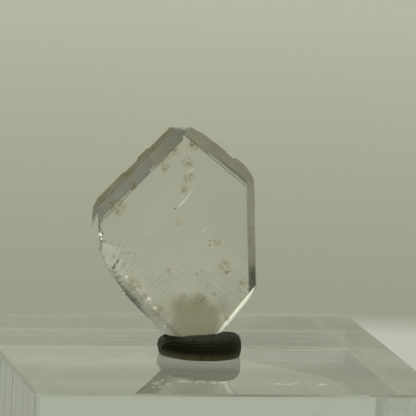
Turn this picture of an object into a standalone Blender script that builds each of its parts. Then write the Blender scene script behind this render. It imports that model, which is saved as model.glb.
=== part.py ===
"""A flat Japan-law quartz twin, stood in a pad of putty on a clear acrylic display block.

Two tabular quartz crystals have grown as one plate. Their long axes lie in the plate, 84.55 degrees apart, and
lean out evenly to the left and right of the seam between them. Every growth face follows from quartz's angles.

The block stands on the plane z = 0 with its middle over the origin. X runs to the right, Y to the back, Z up.
"""

import math
from collections import namedtuple

import bmesh
import bpy
from mathutils import Vector

# Lengths are in metres and angles in degrees.
BLOCK_SIDE = 0.050
BLOCK_HEIGHT = 0.025
UPRIGHT_CHAMFER = 0.00055
RIM_CHAMFER = 0.00025
CONTACT_GAP = 0.0003

AXES_APART = 84.55
RHOMB_TO_BASE = 51.79
SIXTH_TURN = 60

# The plate stands in its own axes: X across the seam, Y through the plate, Z up the seam from the point
# where the two outer prism edges would meet if the root were whole.
PLATE_THICK = 0.0025
TWIN_LEAN = -4.4
TWIN_PLACE = (-0.00122, 0.0, BLOCK_HEIGHT - 0.00148)
ROOT_CUT = 0.0028
ROOT_TILT = 9
SEAM_STEP = 0.00004
SEAM_OVERLAPS = {1: 0.00011, -1: 0.00007}
SEAM_WELD = 0.000003
ROUGH_SIZE = 0.09

# How far each crystal has grown. An edge of the plate is where a front and a back face meet, given by its
# distance out and its depth behind the plate's middle. A worn corner is a plane across the plate, given by a
# point on it and the angle of its normal above the horizontal.
Growth = namedtuple(
    "Growth", "side prism_out prism_depth flank_out flank_depth ridge_along ridge_depth notch_out notch_up worn"
)
Worn = namedtuple("Worn", "out up angle")
RIGHT_CRYSTAL = Growth(
    side=1,
    prism_out=0.00090,
    prism_depth=0.00105,
    flank_out=0.00842,
    flank_depth=-0.00072,
    ridge_along=0.02286,
    ridge_depth=-0.00015,
    notch_out=0.00087,
    notch_up=0.02960,
    worn=(
        Worn(out=0.00812, up=0.02345, angle=29),
        Worn(out=0.00150, up=0.02922, angle=59),
    ),
)
LEFT_CRYSTAL = Growth(
    side=-1,
    prism_out=-0.00045,
    prism_depth=0.00100,
    flank_out=0.01166,
    flank_depth=-0.00010,
    ridge_along=0.02332,
    ridge_depth=-0.00082,
    notch_out=0.00174,
    notch_up=0.02984,
    worn=(
        Worn(out=0.01130, up=0.02120, angle=25),
        Worn(out=0.00988, up=0.01263, angle=-33),
        Worn(out=0.01045, up=0.01420, angle=-20),
    ),
)

# Later layers that thicken a stretch of a ridge: where the stretch starts and ends, measured out across the
# long axis from the plate's lower corner, how far the layer stands past the ridge, and how gently it starts.
Layer = namedtuple("Layer", "starts ends past ramp")
RIGHT_LAYERS = (
    Layer(starts=-0.0123, ends=-0.0060, past=0.00028, ramp=1.2),
    Layer(starts=-0.0158, ends=-0.0138, past=0.00010, ramp=-0.35),
)
LEFT_LAYERS = (
    Layer(starts=-0.0150, ends=-0.0132, past=0.00018, ramp=-0.35),
    Layer(starts=-0.0110, ends=-0.0050, past=0.00014, ramp=-0.35),
)
LAYER_INSET = 0.00010
LAYER_DEPTH = 0.0029

# Shell-shaped breaks on the left flank: centre and radii of each scoop, in the plate's axes.
Scoop = namedtuple("Scoop", "centre radii")
SCOOPS = (
    Scoop(centre=(-0.01335, 0.0003, 0.01570), radii=(0.00285, 0.0036, 0.00320)),
    Scoop(centre=(-0.01080, -0.0033, 0.01420), radii=(0.00330, 0.0026, 0.00310)),
    Scoop(centre=(-0.01240, 0.0027, 0.01780), radii=(0.00250, 0.0021, 0.00270)),
)
WORN_WASTE = 0.006
SCOOP_SEGMENTS = 28
SCOOP_RINGS = 16

PUTTY_PLACE = (-0.00033, -0.0008, BLOCK_HEIGHT)
PUTTY_HALF_WIDTH = 0.00522
PUTTY_HALF_DEPTH = 0.0050
PUTTY_HEIGHT = 0.00258
PUTTY_RISE_RIGHT = 0.00033
PUTTY_DROP_BACK = 0.0006
PUTTY_SUNK = 0.0008
PUTTY_SIDES = 12
PUTTY_FOOT_RADIUS = 0.96
PUTTY_WAIST_SWELL = 1.05
PUTTY_TOP_INSET = 0.30
PUTTY_LEVELS = 2


def clear_scene():
    for obj in list(bpy.data.objects):
        bpy.data.objects.remove(obj)


def new_collection(name):
    collection = bpy.data.collections.new(name)
    bpy.context.scene.collection.children.link(collection)
    return collection


def new_material(name, colour, roughness, transmission=0.0, ior=1.5):
    material = bpy.data.materials.new(name)
    material.use_nodes = True
    shader = material.node_tree.nodes["Principled BSDF"]
    shader.inputs["Base Color"].default_value = (*colour, 1.0)
    shader.inputs["Roughness"].default_value = roughness
    shader.inputs["Metallic"].default_value = 0.0
    shader.inputs["Transmission Weight"].default_value = transmission
    shader.inputs["IOR"].default_value = ior
    return material


def new_object(name, bm, collection, material=None):
    mesh = bpy.data.meshes.new(name)
    bm.to_mesh(mesh)
    bm.free()
    obj = bpy.data.objects.new(name, mesh)
    collection.objects.link(obj)
    if material is not None:
        mesh.materials.append(material)
    return obj


def hide_helper(obj):
    obj.hide_render = True
    obj.display_type = "WIRE"


def combine(obj, other, operation):
    """Joins or cuts obj with another object, which then serves only as a helper."""
    modifier = obj.modifiers.new(f"{operation.lower()} {other.name}", "BOOLEAN")
    modifier.operation = operation
    modifier.object = other
    modifier.solver = "EXACT"
    hide_helper(other)


def cut_away(bm, point, normal):
    """Takes off everything on the normal's side of a plane and closes the cut."""
    cut = bmesh.ops.bisect_plane(
        bm, geom=bm.verts[:] + bm.edges[:] + bm.faces[:], plane_co=point, plane_no=normal, clear_outer=True
    )
    rim = [item for item in cut["geom_cut"] if isinstance(item, bmesh.types.BMEdge)]
    if rim:
        bmesh.ops.contextual_create(bm, geom=rim)


def quartz_axes(side):
    """The long axis of the crystal on one side of the seam, and the direction out across it."""
    lean = math.radians(AXES_APART / 2)
    along = Vector((side * math.sin(lean), 0, math.cos(lean)))
    across = Vector((side * math.cos(lean), 0, -math.sin(lean)))
    return along, across


def prism_normal(across, sixths):
    """The normal of the prism face that many sixths of a turn round from the plate's front."""
    turn = math.radians(SIXTH_TURN * sixths)
    return Vector((0, -1, 0)) * math.cos(turn) + across * math.sin(turn)


def rhomb_normal(along, across, sixths):
    """The normal of the termination face above that prism face."""
    slope = math.radians(RHOMB_TO_BASE)
    return along * math.cos(slope) + prism_normal(across, sixths) * math.sin(slope)


def crystal_faces(growth, swell=0.0):
    """The faces of one crystal by name, each a point and a normal. Swell moves every face outwards."""
    along, across = quartz_axes(growth.side)
    half = PLATE_THICK / 2 + (SEAM_STEP if growth.side < 0 else 0)
    root_tilt = math.radians(ROOT_TILT)
    past_seam = Vector((-growth.side, 0, 0))

    def behind(depth):
        return Vector((0, depth, 0))

    edge_point = {
        "prism": across * growth.prism_out + behind(growth.prism_depth),
        "flank": Vector((growth.side * growth.flank_out, growth.flank_depth, 0)),
        "ridge": along * growth.ridge_along + behind(growth.ridge_depth),
        "notch": Vector((growth.side * growth.notch_out, growth.ridge_depth, growth.notch_up)),
    }
    faces = {
        "broad": [(behind(-half), prism_normal(across, 0)), (behind(half), prism_normal(across, 3))],
        "prism": [(edge_point["prism"], prism_normal(across, sixths)) for sixths in (1, 2)],
        "flank": [(edge_point["flank"], rhomb_normal(along, across, sixths)) for sixths in (1, 2)],
        "ridge": [(edge_point["ridge"], rhomb_normal(along, across, sixths)) for sixths in (0, 3)],
        "notch": [(edge_point["notch"], rhomb_normal(along, across, sixths)) for sixths in (4, 5)],
        "root": [(Vector((0, 0, ROOT_CUT)), Vector((math.sin(root_tilt), 0, -math.cos(root_tilt))))],
        "seam": [(past_seam * SEAM_OVERLAPS[growth.side], past_seam)],
    }
    return {
        name: [(point + normal * swell, normal) for point, normal in group] for name, group in faces.items()
    }


def crystal_mesh(growth, swell=0.0):
    """One crystal of the pair, broken off at the root and cut off just past the seam."""
    bm = bmesh.new()
    bmesh.ops.create_cube(bm, size=ROUGH_SIZE)
    for group in crystal_faces(growth, swell).values():
        for point, normal in group:
            cut_away(bm, point, normal)
    bmesh.ops.recalc_face_normals(bm, faces=bm.faces)
    return bm


def layer_mesh(growth, layer):
    """The later layer on one stretch of a crystal's ridge. Its broad faces lie just under the crystal's own."""
    along, across = quartz_axes(growth.side)
    thicker = growth._replace(
        ridge_along=growth.ridge_along + layer.past,
        flank_out=growth.flank_out + LAYER_INSET / 2,
    )
    faces = crystal_faces(thicker)
    bm = bmesh.new()
    bmesh.ops.create_cube(bm, size=ROUGH_SIZE)
    for point, normal in faces["ridge"] + faces["flank"]:
        cut_away(bm, point, normal)
    for depth in (-1, 1):
        face = Vector((0, depth, 0))
        cut_away(bm, face * (PLATE_THICK / 2 - LAYER_INSET), face)
    ridge = along * thicker.ridge_along
    cut_away(bm, ridge + across * layer.starts, along * layer.ramp - across)
    cut_away(bm, ridge + across * layer.ends, across)
    cut_away(bm, along * (growth.ridge_along - LAYER_DEPTH), -along)
    bmesh.ops.recalc_face_normals(bm, faces=bm.faces)
    return bm


def worn_mesh(side, worn):
    """The waste outside a worn corner's plane."""
    tilt = math.radians(worn.angle)
    point = Vector((side * worn.out, 0, worn.up))
    bm = bmesh.new()
    bmesh.ops.create_cube(bm, size=WORN_WASTE)
    bmesh.ops.translate(bm, vec=point, verts=bm.verts)
    cut_away(bm, point, Vector((-side * math.cos(tilt), 0, -math.sin(tilt))))
    bmesh.ops.recalc_face_normals(bm, faces=bm.faces)
    return bm


def scoop_mesh(scoop):
    bm = bmesh.new()
    bmesh.ops.create_uvsphere(bm, u_segments=SCOOP_SEGMENTS, v_segments=SCOOP_RINGS, radius=1.0)
    bmesh.ops.scale(bm, vec=scoop.radii, verts=bm.verts)
    bmesh.ops.translate(bm, vec=scoop.centre, verts=bm.verts)
    return bm


def make_crystal(growth, layers, name, collection, helpers, plate_axes, material=None):
    """One crystal of the pair with its later layers."""
    crystal = new_object(name, crystal_mesh(growth), collection, material)
    crystal.parent = plate_axes
    for number, layer in enumerate(layers, 1):
        helper = new_object(f"{name} layer {number}", layer_mesh(growth, layer), helpers)
        helper.parent = plate_axes
        combine(crystal, helper, "UNION")
    return crystal


def make_twin(parts, helpers, plate_axes, material):
    """Both crystals as one solid, less their worn corners and the breaks on the left flank."""
    twin = make_crystal(LEFT_CRYSTAL, LEFT_LAYERS, "crystal_twin", parts, helpers, plate_axes, material)
    right = make_crystal(RIGHT_CRYSTAL, RIGHT_LAYERS, "right crystal", helpers, helpers, plate_axes)
    combine(twin, right, "UNION")
    weld = twin.modifiers.new("close the seam", "WELD")
    weld.merge_threshold = SEAM_WELD
    waste = [worn_mesh(growth.side, worn) for growth in (RIGHT_CRYSTAL, LEFT_CRYSTAL) for worn in growth.worn]
    waste += [scoop_mesh(scoop) for scoop in SCOOPS]
    for number, bm in enumerate(waste, 1):
        helper = new_object(f"broken off {number}", bm, helpers)
        helper.parent = plate_axes
        combine(twin, helper, "DIFFERENCE")
    return twin


def putty_cage():
    """A coarse cage of the pressed pad, of unit radius: fullest at its waist, higher on the right, lower behind."""
    bm = bmesh.new()
    bmesh.ops.create_cone(
        bm,
        cap_ends=True,
        segments=PUTTY_SIDES,
        radius1=PUTTY_FOOT_RADIUS,
        radius2=1.0,
        depth=PUTTY_HEIGHT + PUTTY_SUNK,
    )
    caps = [face for face in bm.faces if len(face.verts) == PUTTY_SIDES]
    bmesh.ops.inset_individual(bm, faces=caps, thickness=PUTTY_TOP_INSET, depth=0.0, use_even_offset=False)
    uprights = [edge for edge in bm.edges if abs(edge.verts[0].co.z - edge.verts[1].co.z) > PUTTY_HEIGHT / 2]
    waist = bmesh.ops.subdivide_edges(bm, edges=uprights, cuts=1)
    for vert in (item for item in waist["geom_inner"] if isinstance(item, bmesh.types.BMVert)):
        vert.co.x *= PUTTY_WAIST_SWELL
        vert.co.y *= PUTTY_WAIST_SWELL
    for vert in bm.verts:
        if vert.co.z > PUTTY_HEIGHT / 2:
            vert.co.z += PUTTY_RISE_RIGHT * vert.co.x - PUTTY_DROP_BACK * max(0.0, vert.co.y)
        vert.co.z += (PUTTY_HEIGHT - PUTTY_SUNK) / 2
    bmesh.ops.scale(bm, vec=(PUTTY_HALF_WIDTH, PUTTY_HALF_DEPTH, 1.0), verts=bm.verts)
    return bm


def make_putty(parts, helpers, plate_axes, material):
    """The pad, flat where it meets the block and hollowed where the twin's root goes in."""
    putty = new_object("mounting_putty", putty_cage(), parts, material)
    putty.location = PUTTY_PLACE
    smooth = putty.modifiers.new("pressed round", "SUBSURF")
    smooth.levels = PUTTY_LEVELS
    smooth.render_levels = PUTTY_LEVELS

    bm = bmesh.new()
    bmesh.ops.create_cube(bm, size=4 * PUTTY_HALF_WIDTH)
    bmesh.ops.translate(bm, vec=(0, 0, CONTACT_GAP - 2 * PUTTY_HALF_WIDTH), verts=bm.verts)
    table = new_object("flat under the putty", bm, helpers)
    table.location = PUTTY_PLACE
    combine(putty, table, "DIFFERENCE")
    for growth, name in ((LEFT_CRYSTAL, "socket for the left"), (RIGHT_CRYSTAL, "socket for the right")):
        socket = new_object(name, crystal_mesh(growth, swell=CONTACT_GAP), helpers)
        socket.parent = plate_axes
        combine(putty, socket, "DIFFERENCE")
    putty.data.shade_smooth()
    return putty


def make_block(parts, material):
    """The polished block, with wider chamfers on its four uprights than round its rims."""
    bm = bmesh.new()
    bmesh.ops.create_cube(bm, size=1.0)
    bmesh.ops.scale(bm, vec=(BLOCK_SIDE, BLOCK_SIDE, BLOCK_HEIGHT), verts=bm.verts)
    uprights = [edge for edge in bm.edges if abs(edge.verts[0].co.z - edge.verts[1].co.z) > BLOCK_HEIGHT / 2]
    bmesh.ops.bevel(bm, geom=uprights, offset=UPRIGHT_CHAMFER, segments=1, affect="EDGES")
    rims = [edge for edge in bm.edges if abs(edge.verts[0].co.z - edge.verts[1].co.z) < RIM_CHAMFER]
    bmesh.ops.bevel(bm, geom=rims, offset=RIM_CHAMFER, segments=1, affect="EDGES")
    block = new_object("acrylic_block", bm, parts, material)
    block.location = (0, 0, BLOCK_HEIGHT / 2)
    return block


def main():
    clear_scene()
    parts = new_collection("japan law twin quartz")
    helpers = new_collection("helpers")
    quartz = new_material("quartz", (0.93, 0.93, 0.90), 0.03, transmission=1.0, ior=1.544)
    acrylic = new_material("acrylic", (0.97, 0.98, 0.97), 0.02, transmission=1.0, ior=1.49)
    putty = new_material("putty", (0.022, 0.022, 0.014), 0.45)

    plate_axes = bpy.data.objects.new("plate axes", None)
    parts.objects.link(plate_axes)
    plate_axes.location = TWIN_PLACE
    plate_axes.rotation_euler = (0, math.radians(TWIN_LEAN), 0)

    make_twin(parts, helpers, plate_axes, quartz)
    make_putty(parts, helpers, plate_axes, putty)
    make_block(parts, acrylic)


main()
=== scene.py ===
"""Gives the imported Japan-law quartz twin its finished look.

The clear twin gets its worn edges, growth lines and small chips, and what is seen inside it: the milky root,
the iron stains and one healed crack. It stands in dark putty on its acrylic block, on a plain pale table.
"""

import random
from math import copysign, cos, hypot, pi, radians, sin, tau

import bmesh
import bpy
from bpy.props import FloatProperty, FloatVectorProperty, PointerProperty
from mathutils import Matrix, Vector, noise


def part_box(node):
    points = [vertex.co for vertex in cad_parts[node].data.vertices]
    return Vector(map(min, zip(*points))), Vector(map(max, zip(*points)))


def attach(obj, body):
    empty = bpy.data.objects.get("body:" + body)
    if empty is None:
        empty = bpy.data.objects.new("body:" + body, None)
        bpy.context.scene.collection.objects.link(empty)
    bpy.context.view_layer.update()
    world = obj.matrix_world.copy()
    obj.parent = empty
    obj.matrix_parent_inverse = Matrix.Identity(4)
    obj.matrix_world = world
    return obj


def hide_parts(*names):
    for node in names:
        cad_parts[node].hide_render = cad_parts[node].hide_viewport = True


bl_info = {
    "name": "Japan law twin quartz",
    "version": (1, 0, 0),
    "blender": (4, 5, 0),
    "location": "3D View > Sidebar > Twin Quartz",
    "description": "Dresses the packed twin crystal, its putty, its block and the stage",
    "category": "Object",
}

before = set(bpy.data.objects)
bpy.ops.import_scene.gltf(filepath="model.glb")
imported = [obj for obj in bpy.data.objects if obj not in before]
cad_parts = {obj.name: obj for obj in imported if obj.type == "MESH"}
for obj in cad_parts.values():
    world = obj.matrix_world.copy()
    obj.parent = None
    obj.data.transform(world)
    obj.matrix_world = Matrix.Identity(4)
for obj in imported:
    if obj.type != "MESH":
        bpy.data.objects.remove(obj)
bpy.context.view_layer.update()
BODY = "root"
MM = 0.001

# The plate of the twin: its lean about Y and the foot of its seam, as in the part's source.
PLATE_LEAN = radians(-4.4)
PLATE_FOOT = Vector((-0.00122, 0.0, 0.02352))
AXIS_TO_SEAM = radians(42.275)
BLOCK_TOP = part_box("acrylic_block")[1][2]
# How far what lies on the block stands clear of it.
CLEAR_OF_BLOCK = 0.00002
# The round patch in the middle of the block's underside, in millimetres.
PATCH_RADIUS = 19.4
# Faces that meet within this angle are one flat face.
FLAT_WITHIN = radians(0.3)

QUARTZ_IOR = 1.544
QUARTZ_BODY = (0.76, 0.76, 0.68)
QUARTZ_DENSITY = 16.0
ACRYLIC_IOR = 1.49
ACRYLIC_BODY = (0.72, 0.76, 0.70)
ACRYLIC_DENSITY = 14.0
QUARTZ_DUST = (0.62, 0.56, 0.42)
ACRYLIC_DUST = (0.7, 0.68, 0.6)
PUTTY_DUST = (0.16, 0.13, 0.07)
LINE_SHADE = (0.66, 0.66, 0.60)
# The dull tone of the crack's end and of its patches.
CRACK_DULL = (0.10, 0.085, 0.05)
SCRATCH_DUST = (0.62, 0.60, 0.48)
# The rippled break on the left flank, and where its ripples spread from, in millimetres of the plate.
BREAK_MIDDLE = (-9.6, 0.0, 13.6)
BREAK_REACH = (2.6, 3.0, 4.2)
RIPPLE_MIDDLE = (-12.6, 0.0, 16.4)
RIPPLE_DEPTH = 0.00007
# How much of the growth lines the rim faces have.
RIM_LINED = 0.15
# Where the streaks of the milky root fan out from, its two creamy patches, and how many veils there are.
CLOUD_ROOT = (0.75, 0.0, -1.6)
LEFT_CREAM = ((-3.5, 0.0, 6.6), (1.9, 4.0, 2.8))
RIGHT_CREAM = ((4.3, 0.0, 7.0), (1.4, 4.0, 2.2))
VEIL_LAYERS = 6
# The dull end of the healed crack.
CRACK_END = ((-1.55, 0.0, 19.75), (0.5, 2.0, 0.4))


def only(*objects):
    """Selects these objects alone and makes the first one active."""
    bpy.ops.object.select_all(action="DESELECT")
    for obj in objects:
        obj.select_set(True)
    bpy.context.view_layer.objects.active = objects[0]


def on_plate(across, up, depth=0.0):
    """The place of a point given in millimetres across, up and through the plate."""
    return PLATE_FOOT + Matrix.Rotation(PLATE_LEAN, 3, "Y") @ (Vector((across, depth, up)) * MM)


def named(name):
    """Names the object that the last operator made."""
    obj = bpy.context.object
    obj.name = name
    obj.data.name = name
    return obj


def settle(obj):
    """Puts the object's place, turn and size into its mesh."""
    only(obj)
    bpy.ops.object.transform_apply(location=True, rotation=True, scale=True)


def edit_mesh(action):
    """Opens the active mesh for editing, with all or none of it selected."""
    bpy.ops.object.mode_set(mode="EDIT")
    bpy.ops.mesh.select_all(action=action)


def leave_mesh():
    bpy.ops.object.mode_set(mode="OBJECT")


def modify(obj, kind, **settings):
    """Adds a modifier with these settings and applies it."""
    modifier = obj.modifiers.new(kind, kind)
    for name, value in settings.items():
        setattr(modifier, name, value)
    only(obj)
    bpy.ops.object.modifier_apply(modifier=modifier.name)


def cut_away(obj, other, operation="DIFFERENCE"):
    """Cuts the second object out of the first, or keeps only what is inside it, and uses it up."""
    modify(obj, "BOOLEAN", operation=operation, solver="EXACT", object=other)
    bpy.data.objects.remove(other)


def cad_copy(node, name):
    """A copy of a CAD node with its loose triangles joined and its flat faces whole."""
    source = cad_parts[node]
    obj = bpy.data.objects.new(name, source.data.copy())
    obj.data.name = name
    obj.data.materials.clear()
    bpy.context.scene.collection.objects.link(obj)
    only(obj)
    if obj.data.has_custom_normals:
        bpy.ops.mesh.customdata_custom_splitnormals_clear()
    edit_mesh("SELECT")
    bpy.ops.mesh.remove_doubles(threshold=0.000002)
    bpy.ops.mesh.dissolve_limited(angle_limit=FLAT_WITHIN)
    leave_mesh()
    return obj


def shrunk_twin(name, middle, factor):
    """A copy of the CAD twin, a little smaller about a place in it."""
    twin = cad_copy("crystal_twin", name)
    for vert in twin.data.vertices:
        vert.co = middle + (vert.co - middle) * factor
    return twin


def joined(name, pieces):
    """Several objects as one, under one name."""
    only(*pieces)
    bpy.ops.object.join()
    return named(name)


def copies_joined(model, places, name):
    """One mesh of copies of a model, one at each place; the model itself is used up."""
    made = []
    for place in places:
        twin = model.copy()
        twin.data = model.data.copy()
        bpy.context.scene.collection.objects.link(twin)
        twin.matrix_world = place
        made.append(twin)
    bpy.data.objects.remove(model)
    whole = joined(name, made)
    settle(whole)
    return whole


def finish_piece(obj, material):
    """Gives a piece its material and the body it rides on."""
    obj.data.materials.clear()
    obj.data.materials.append(material)
    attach(obj, BODY)


def feed(tree, node, values):
    """Fills a node's inputs. A value that is a socket is linked, any other is set on the input."""
    for key, value in values.items():
        if isinstance(value, bpy.types.NodeSocket):
            tree.links.new(value, node.inputs[key])
        else:
            node.inputs[key].default_value = value


def put(tree, kind, values=None, **settings):
    """Adds a node with these inputs and settings."""
    made = tree.nodes.new("ShaderNode" + kind)
    for name, value in settings.items():
        setattr(made, name, value)
    feed(tree, made, values or {})
    return made


def maths(tree, operation, first, second=0.0, third=0.0):
    values = {0: first, 1: second, 2: third}
    return put(tree, "Math", values, operation=operation).outputs[0]


def times(tree, first, second):
    return maths(tree, "MULTIPLY", first, second)


def times_plus(tree, first, second, added):
    return maths(tree, "MULTIPLY_ADD", first, second, added)


def vectors(tree, operation, *values):
    """A number for a length or a dot product, and a vector for any other operation."""
    made = put(tree, "VectorMath", dict(enumerate(values)), operation=operation)
    return made.outputs["Value" if operation in ("LENGTH", "DOT_PRODUCT") else "Vector"]


def split(tree, vector):
    """The three parts of a vector."""
    return put(tree, "SeparateXYZ", {0: vector}).outputs


def spread(tree, value, low, high, to_low=0.0, to_high=1.0):
    """Maps low..high of a value to to_low..to_high, held at both ends."""
    values = {"Value": value, "From Min": low, "From Max": high, "To Min": to_low, "To Max": to_high}
    return put(tree, "MapRange", values).outputs[0]


def rgba(colour):
    """The colour with its alpha, or the socket that gives it."""
    return colour if isinstance(colour, bpy.types.NodeSocket) else (*colour, 1.0)


def mixed(tree, factor, first, second):
    values = {0: factor, 6: rgba(first), 7: rgba(second)}
    return put(tree, "Mix", values, data_type="RGBA").outputs[2]


def noisy(tree, place, scale, detail=3.0, rough=0.55):
    values = {"Vector": place, "Scale": scale, "Detail": detail, "Roughness": rough}
    return put(tree, "TexNoise", values).outputs["Fac"]


def new_group(name, takes, gives):
    """A shader node group with these inputs, their defaults and these outputs, and its two end nodes."""
    group = bpy.data.node_groups.new(name, "ShaderNodeTree")
    for label, value in takes.items():
        kind = "NodeSocketFloat" if isinstance(value, float) else "NodeSocketVector"
        group.interface.new_socket(name=label, in_out="INPUT", socket_type=kind).default_value = value
    for label in gives:
        group.interface.new_socket(name=label, in_out="OUTPUT", socket_type="NodeSocketFloat")
    return group, group.nodes.new("NodeGroupInput").outputs, group.nodes.new("NodeGroupOutput").inputs


def use_group(tree, group, values):
    made = put(tree, "Group", node_tree=group)
    feed(tree, made, values)
    return made.outputs


# Any two different numbers, so that each crystal has its own lines, and others behind than in front.
SIDE_SHIFT = 41.0
FRONT_SHIFT = 87.0


def growth_line_group():
    """Lines across the long axis of each crystal, which meet in arrowheads along the seam."""
    name = "growth lines"
    if name in bpy.data.node_groups:
        return bpy.data.node_groups[name]
    takes = {"Place": (0.0, 0.0, 0.0), "Lines per mm": 3.0}
    group, given, out = new_group(name, takes, ("Lines", "Fading"))
    parts = split(group, given["Place"])
    out_from_seam = times(group, maths(group, "ABSOLUTE", parts[0]), sin(AXIS_TO_SEAM))
    along = times_plus(group, parts[2], cos(AXIS_TO_SEAM), out_from_seam)
    stepped = times(group, along, given["Lines per mm"])
    side = times(group, maths(group, "SIGN", parts[0]), SIDE_SHIFT)
    front = times(group, maths(group, "SIGN", parts[1]), FRONT_SHIFT)
    start = maths(group, "ADD", stepped, maths(group, "ADD", side, front))
    values = {"W": start, "Scale": 1.0, "Detail": 4.0, "Roughness": 0.6}
    lines = put(group, "TexNoise", values, noise_dimensions="1D").outputs["Fac"]
    group.links.new(lines, out["Lines"])
    patchy = spread(group, noisy(group, given["Place"], 0.28, 2.0), 0.38, 0.62)
    low_down = spread(group, parts[2], 21.0, 9.0, 0.12, 1.0)
    group.links.new(times(group, patchy, low_down), out["Fading"])
    return group


def fine_wear_group():
    """Hairline rubs and dust, as a mask."""
    name = "fine wear"
    if name in bpy.data.node_groups:
        return bpy.data.node_groups[name]
    takes = {"Place": (0.0, 0.0, 0.0), "Grain": 3.0}
    group, given, out = new_group(name, takes, ("Rubs", "Dust"))
    bend = {"Vector": given["Place"], "Scale": 0.35, "Detail": 2.0}
    bent = put(group, "TexNoise", bend).outputs["Color"]
    pushed = vectors(group, "MULTIPLY_ADD", bent, (1.6, 1.6, 1.6), given["Place"])
    stretched = vectors(group, "MULTIPLY", pushed, (0.22, 1.0, 1.3))
    streaks = noisy(group, stretched, given["Grain"], 5.0, 0.7)
    group.links.new(spread(group, streaks, 0.60, 0.74), out["Rubs"])
    cells = {"Vector": given["Place"], "Scale": times(group, given["Grain"], 2.3)}
    specks = put(group, "TexVoronoi", cells).outputs["Distance"]
    dots = spread(group, specks, 0.16, 0.06)
    patches = spread(group, noisy(group, given["Place"], 0.6, 2.0), 0.50, 0.66)
    group.links.new(times(group, dots, patches), out["Dust"])
    return group


def absorbing(tree, colour, density):
    """Fills the inside with a plain absorbing medium."""
    medium = put(tree, "VolumeAbsorption", {"Color": rgba(colour), "Density": density})
    feed(tree, tree.nodes["Material Output"], {"Volume": medium.outputs[0]})


def new_material(name):
    """A material with an empty Principled shader, and its node tree."""
    material = bpy.data.materials.new(name)
    material.use_nodes = True
    return material, material.node_tree


def dressed(material, values):
    """The material with these values fed to its shader."""
    tree = material.node_tree
    feed(tree, tree.nodes["Principled BSDF"], values)
    return material


def millimetres(tree, plate=False):
    """Object coordinates in millimetres, or the plate's own across, through and up."""
    place = put(tree, "TexCoord").outputs["Object"]
    values = {"Vector": place, "Scale": (MM, MM, MM)}
    if plate:
        values["Location"] = PLATE_FOOT
        values["Rotation"] = (0.0, PLATE_LEAN, 0.0)
    return put(tree, "Mapping", values, vector_type="TEXTURE").outputs[0]


def ball_mask(tree, place, centre, radii, soft=0.35):
    """1 inside an egg shape round a centre, falling to 0 at its edge."""
    values = {"Vector": place, "Location": centre, "Scale": radii}
    inside = put(tree, "Mapping", values, vector_type="TEXTURE").outputs[0]
    return spread(tree, vectors(tree, "LENGTH", inside), 1.0, 1.0 - soft)


def bump(tree, height, distance, normal=None):
    values = {"Height": height, "Distance": distance, "Strength": 1.0}
    if normal is not None:
        values["Normal"] = normal
    return put(tree, "Bump", values).outputs[0]


def quartz_material(look, name, roughness, clearness=0.97, rim_shade=None):
    """Clear quartz with growth lines, a rippled break on the left and a faintly tinted root."""
    material, tree = new_material(name)
    place = millimetres(tree, plate=True)
    lines = use_group(tree, growth_line_group(), {"Place": place, "Lines per mm": look.lines_per_mm})
    wear = use_group(tree, fine_wear_group(), {"Place": place, "Grain": 4.0})
    broken = ball_mask(tree, place, BREAK_MIDDLE, BREAK_REACH, 0.3)
    centre = {"Vector": place, "Location": RIPPLE_MIDDLE}
    from_middle = put(tree, "Mapping", centre, vector_type="TEXTURE").outputs[0]
    waves = {"Vector": from_middle, "Scale": 0.42, "Distortion": 5.5, "Detail": 2.5, "Detail Scale": 0.9}
    rings = put(tree, "TexWave", waves, wave_type="RINGS", rings_direction="SPHERICAL")
    swell = noisy(tree, place, 0.22, 2.0)
    lined = 1.0 if rim_shade is None else RIM_LINED
    normal = bump(tree, times(tree, lines["Lines"], lines["Fading"]), look.line_depth * lined)
    normal = bump(tree, times(tree, rings.outputs["Fac"], broken), RIPPLE_DEPTH, normal)
    normal = bump(tree, swell, 0.00002, normal)
    normal = bump(tree, wear["Rubs"], 0.000004, normal)
    frost = times(tree, spread(tree, lines["Lines"], 0.5, 0.66), lines["Fading"])
    matt = times_plus(tree, wear["Dust"], 0.2, times(tree, frost, 0.42 * lined))
    matt = times_plus(tree, broken, 0.05, matt)
    root = spread(tree, split(tree, place)[2], 12.0, 3.0)
    tint = mixed(tree, root, look.clear_tint, look.root_tint)
    shade = times(tree, spread(tree, lines["Lines"], 0.62, 0.36), lines["Fading"])
    mottle = spread(tree, noisy(tree, place, 3.2, 5.0, 0.75), 0.48, 0.72, 0.0, 0.22)
    tint = mixed(tree, times_plus(tree, shade, 0.6 * lined, mottle), tint, LINE_SHADE)
    # Painted shade on a rim face, a little blotchy.
    if rim_shade is not None:
        blotchy = spread(tree, noisy(tree, place, 0.8, 4.0), 0.3, 0.7, 0.75, 1.0)
        tint = mixed(tree, blotchy, tint, rim_shade)
    tint = mixed(tree, times(tree, wear["Dust"], 0.5), tint, QUARTZ_DUST)
    absorbing(tree, QUARTZ_BODY, QUARTZ_DENSITY)
    return dressed(material, {
        "Base Color": tint,
        "Roughness": maths(tree, "ADD", matt, roughness),
        "Normal": normal,
        "Transmission Weight": clearness,
        "IOR": QUARTZ_IOR,
    })


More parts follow.
